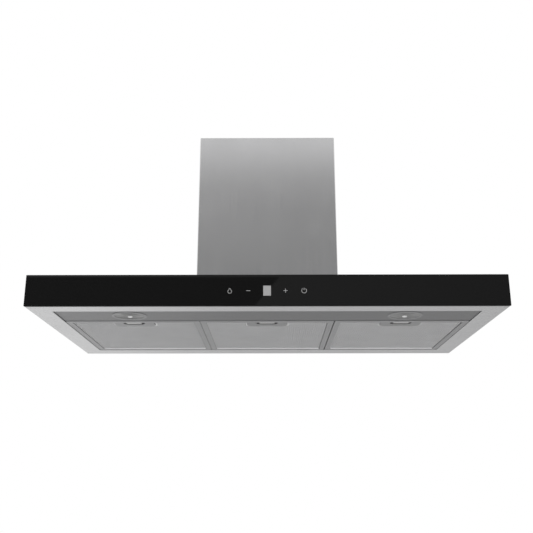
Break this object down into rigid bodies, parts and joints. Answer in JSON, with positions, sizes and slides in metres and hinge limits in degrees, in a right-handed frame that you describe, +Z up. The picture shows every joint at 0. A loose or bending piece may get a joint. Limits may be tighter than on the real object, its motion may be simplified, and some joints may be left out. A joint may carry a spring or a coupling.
{
  "type": "island range hood",
  "caption": "Flat island range hood with a black glass front, square telescopic chimney, drop-down grease filters, spotlights, touch controls, fan and duct collar.",
  "frame": {"origin": "centre of the ceiling plate's top face, where the hood is bolted to the ceiling", "axes": "+Z up, X along the canopy's width, -Y towards the glass front"},
  "size_m": [0.9, 0.5, 0.396],
  "materials": {
    "stainless": "brushed lengthways",
    "light_strip": "brushed lengthways, darker",
    "chimney_steel": "brushed upright",
    "galvanised": "zinc coated",
    "fastener_steel": "zinc plated",
    "black_glass": "gloss, back painted black",
    "foam_tape": "matt",
    "lamp_trim": "satin",
    "lamp_lens": "frosted",
    "heat_sink": "cast",
    "dark_plastic": "fine texture",
    "grey_plastic": "satin",
    "circuit_board": "solder mask",
    "display": "diffuser",
    "filter_aluminium": "satin",
    "filter_mesh": "expanded mesh",
    "spring_steel": "bare",
    "capacitor_can": "drawn",
    "motor_can": "zinc coated"
  },
  "bodies": {
    "ceiling_section": {"ceiling_plate": "galvanised", "upper_rails": "galvanised", "upper_chimney_cover": "chimney_steel", "upper_cover_screws": "fastener_steel"},
    "hood": {"lower_frame_base": "galvanised", "lower_rails": "galvanised", "height_bolts": "fastener_steel", "height_nuts": "fastener_steel", "lower_chimney_cover": "chimney_steel", "lower_cover_screws": "fastener_steel", "canopy_shell": "stainless", "glass_fascia": "black_glass", "glass_bonding_tape": "foam_tape", "light_panel": "light_strip", "lamp_bezel_left": "lamp_trim", "lamp_bezel_right": "lamp_trim", "lamp_lens_left": "lamp_lens", "lamp_lens_right": "lamp_lens", "lamp_body_left": "heat_sink", "lamp_body_right": "heat_sink", "touch_control_tray": "dark_plastic", "touch_control_board": "circuit_board", "display_module": "display", "control_box": "dark_plastic", "control_box_lid": "dark_plastic", "fan_box": "galvanised", "fan_box_screws": "fastener_steel", "volute_left": "dark_plastic", "volute_right": "dark_plastic", "outlet_adapter": "dark_plastic", "motor": "motor_can", "motor_bracket": "galvanised", "run_capacitor": "capacitor_can", "outlet_collar": "dark_plastic", "collar_screws": "fastener_steel", "flap_pin": "fastener_steel", "terminal_box": "grey_plastic", "cable_gland": "dark_plastic"},
    "impeller": {"impeller": "galvanised", "motor_shaft": "fastener_steel"},
    "flap_front": {"flap_front": "grey_plastic"},
    "flap_rear": {"flap_rear": "grey_plastic"},
    "filter_left": {"filter_frame_left": "filter_aluminium", "filter_mesh_left": "filter_mesh", "filter_handle_left": "lamp_trim", "latch_springs_left": "spring_steel"},
    "latch_left": {"latch_left": "fastener_steel"},
    "filter_centre": {"filter_frame_centre": "filter_aluminium", "filter_mesh_centre": "filter_mesh", "filter_handle_centre": "lamp_trim", "latch_springs_centre": "spring_steel"},
    "latch_centre": {"latch_centre": "fastener_steel"},
    "filter_right": {"filter_frame_right": "filter_aluminium", "filter_mesh_right": "filter_mesh", "filter_handle_right": "lamp_trim", "latch_springs_right": "spring_steel"},
    "latch_right": {"latch_right": "fastener_steel"}
  },
  "joints": [
    {"name": "height_adjust", "type": "slide", "parent": "ceiling_section", "child": "hood", "axis": [0, 0, -1], "range_m": [0, 0.24]},
    {"name": "impeller_spin", "type": "hinge", "parent": "hood", "child": "impeller", "pos_m": [0, 0.025, -0.259], "axis": [1, 0, 0], "continuous": true},
    {"name": "flap_front_swing", "type": "hinge", "parent": "hood", "child": "flap_front", "pos_m": [0, 0, -0.122], "axis": [-1, 0, 0], "range_deg": [0, 75]},
    {"name": "flap_rear_swing", "type": "hinge", "parent": "hood", "child": "flap_rear", "pos_m": [0, 0, -0.122], "axis": [1, 0, 0], "range_deg": [0, 75]},
    {"name": "filter_left_swing", "type": "hinge", "parent": "hood", "child": "filter_left", "pos_m": [-0.2727, 0.206, -0.395], "axis": [1, 0, 0], "range_deg": [0, 85]},
    {"name": "latch_left_slide", "type": "slide", "parent": "filter_left", "child": "latch_left", "axis": [0, 1, 0], "range_m": [0, 0.005], "stiffness_N_per_m": 300, "springref_m": -0.003, "deforming": ["latch_springs_left"]},
    {"name": "filter_centre_swing", "type": "hinge", "parent": "hood", "child": "filter_centre", "pos_m": [-0.0006, 0.206, -0.395], "axis": [1, 0, 0], "range_deg": [0, 85]},
    {"name": "latch_centre_slide", "type": "slide", "parent": "filter_centre", "child": "latch_centre", "axis": [0, 1, 0], "range_m": [0, 0.005], "stiffness_N_per_m": 300, "springref_m": -0.003, "deforming": ["latch_springs_centre"]},
    {"name": "filter_right_swing", "type": "hinge", "parent": "hood", "child": "filter_right", "pos_m": [0.2727, 0.206, -0.395], "axis": [1, 0, 0], "range_deg": [0, 85]},
    {"name": "latch_right_slide", "type": "slide", "parent": "filter_right", "child": "latch_right", "axis": [0, 1, 0], "range_m": [0, 0.005], "stiffness_N_per_m": 300, "springref_m": -0.003, "deforming": ["latch_springs_right"]}
  ]
}
